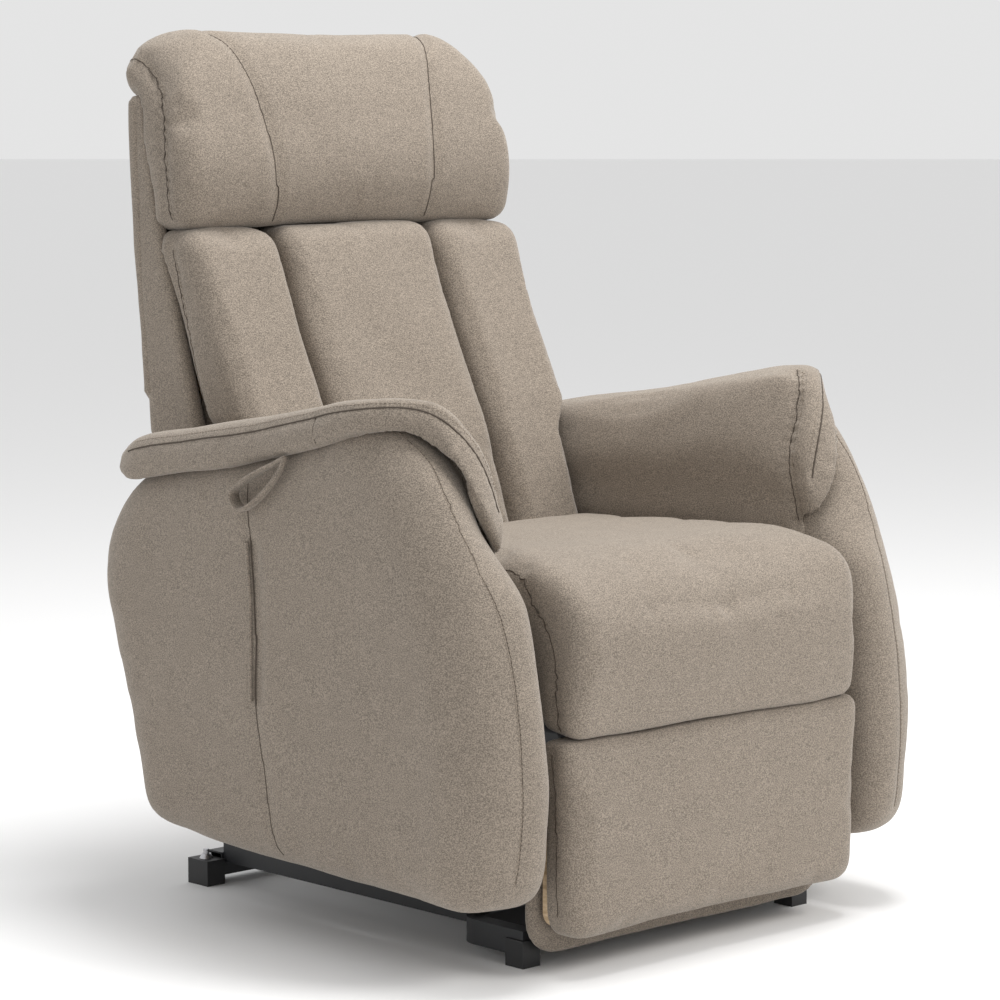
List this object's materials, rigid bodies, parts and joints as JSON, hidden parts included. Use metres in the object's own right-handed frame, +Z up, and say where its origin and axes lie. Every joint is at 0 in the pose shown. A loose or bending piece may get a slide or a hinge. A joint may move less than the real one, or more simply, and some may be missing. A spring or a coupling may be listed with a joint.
{
  "type": "lift recliner chair",
  "caption": "Upholstered power lift recliner with padded arms, rolled headrest, fold-out footrest, reclining back and a tilting lift base of steel tube.",
  "frame": {"origin": "on the floor, below the middle of the chair's bounding box", "axes": "+Z up, the sitter faces -Y, +X is the sitter's left"},
  "size_m": [0.794, 0.8298, 1.098],
  "materials": {
    "upholstery": "soft brushed chenille",
    "black_steel": "satin powder coat",
    "plated_steel": "zinc plated",
    "black_plastic": "moulded matt",
    "motor_case": "moulded satin",
    "frame_wood": "raw plywood and pine"
  },
  "bodies": {
    "base": {"base_front_tube": "black_steel", "base_rail_left": "black_steel", "base_rail_right": "black_steel", "base_rear_bar": "black_steel", "front_feet": "black_plastic", "rear_feet": "black_plastic", "rear_foot_bolts": "plated_steel", "lift_front_brackets": "black_steel", "lift_rear_brackets": "black_steel", "lift_front_pins": "plated_steel", "lift_rear_pins": "plated_steel", "lift_motor_anchor": "black_steel"},
    "front_links": {"lift_front_links": "black_steel", "lift_torque_tube": "black_steel", "lift_crank": "black_steel"},
    "rear_links": {"lift_rear_links": "black_steel", "lift_slot_pins": "plated_steel"},
    "chair": {"seat_side_plates": "black_steel", "lift_chair_pins": "plated_steel", "seat_crossbars": "black_steel", "recline_motor_anchor": "black_steel", "seat_frame_sides": "frame_wood", "seat_frame_front": "frame_wood", "seat_frame_rear": "frame_wood", "seat_springs": "plated_steel", "seat_cushion": "upholstery", "arm_body_left": "upholstery", "arm_body_right": "upholstery", "arm_frame_left": "frame_wood", "arm_frame_right": "frame_wood", "arm_pad_left": "upholstery", "arm_pad_right": "upholstery", "arm_brackets": "black_steel", "pull_loop": "upholstery", "control_box": "black_plastic", "back_hinge_pins": "plated_steel", "footrest_chair_pins": "plated_steel"},
    "back": {"back_cushion": "upholstery", "back_shell": "upholstery", "headrest_cushion": "upholstery", "back_uprights": "frame_wood", "back_cross_rails": "frame_wood", "back_hinge_plates": "black_steel", "recline_arm": "black_steel"},
    "lower_links": {"footrest_lower_links": "black_steel", "footrest_cross_tube": "black_steel", "footrest_elbow_pins": "plated_steel"},
    "upper_links": {"footrest_upper_links": "black_steel", "footrest_panel_pins": "plated_steel", "kick_board": "upholstery", "kick_board_brackets": "black_steel"},
    "footrest": {"footrest_board": "frame_wood", "footrest_pad": "upholstery", "footrest_brackets": "black_steel"},
    "lift_motor": {"lift_motor": "motor_case"},
    "lift_rod": {"lift_rod": "plated_steel"},
    "recline_motor": {"recline_motor": "motor_case"},
    "recline_rod": {"recline_rod": "plated_steel"}
  },
  "joints": [
    {"name": "lift", "type": "hinge", "parent": "base", "child": "front_links", "pos_m": [0, -0.1393, 0.0825], "axis": [1, 0, 0], "range_deg": [0, 66.63]},
    {"name": "chair_tilt", "type": "hinge", "parent": "front_links", "child": "chair", "pos_m": [0, 0.1383, 0.1214], "axis": [-1, 0, 0], "range_deg": [0, 40.65]},
    {"name": "rear_link_swing", "type": "hinge", "parent": "base", "child": "rear_links", "pos_m": [0, -0.0399, 0.0926], "axis": [1, 0, 0], "range_deg": [0, 71.63]},
    {"name": "recline", "type": "hinge", "parent": "chair", "child": "back", "pos_m": [0, 0.12, 0.33], "axis": [-1, 0, 0], "range_deg": [0, 27]},
    {"name": "footrest", "type": "hinge", "parent": "chair", "child": "lower_links", "pos_m": [0, -0.195, 0.262], "axis": [-1, 0, 0], "range_deg": [0, 78.39]},
    {"name": "footrest_elbow", "type": "hinge", "parent": "lower_links", "child": "upper_links", "pos_m": [0, -0.205, 0.066], "axis": [1, 0, 0], "range_deg": [0, 91.66]},
    {"name": "footrest_panel", "type": "hinge", "parent": "upper_links", "child": "footrest", "pos_m": [0, -0.323, 0.205], "axis": [-1, 0, 0], "range_deg": [0, 101.27]},
    {"name": "lift_motor_swing", "type": "hinge", "parent": "base", "child": "lift_motor", "pos_m": [-0.045, 0.297, 0.066], "axis": [1, 0, 0], "range_deg": [0, 1.56]},
    {"name": "lift_rod_slide", "type": "slide", "parent": "lift_motor", "child": "lift_rod", "axis": [0, -0.988, 0.1546], "range_m": [0, 0.059]},
    {"name": "recline_motor_swing", "type": "hinge", "parent": "chair", "child": "recline_motor", "pos_m": [0.07, -0.148, 0.222], "axis": [-1, 0, 0], "range_deg": [0, 1.47]},
    {"name": "recline_rod_slide", "type": "slide", "parent": "recline_motor", "child": "recline_rod", "axis": [0, -1, 0.0065], "range_m": [0, 0.0542]}
  ],
  "couplings": [
    {"joint": "chair_tilt", "follows": "lift", "ratio": 0.60979},
    {"joint": "rear_link_swing", "follows": "lift", "ratio": 1.0744},
    {"joint": "lift_motor_swing", "follows": "lift", "ratio": 0.023352},
    {"joint": "lift_rod_slide", "follows": "lift", "m_per_rad": 0.050709},
    {"joint": "footrest_elbow", "follows": "footrest", "ratio": 1.1686},
    {"joint": "footrest_panel", "follows": "footrest", "ratio": 1.2912},
    {"joint": "recline_motor_swing", "follows": "recline", "ratio": 0.054537},
    {"joint": "recline_rod_slide", "follows": "recline", "m_per_rad": 0.11496}
  ]
}
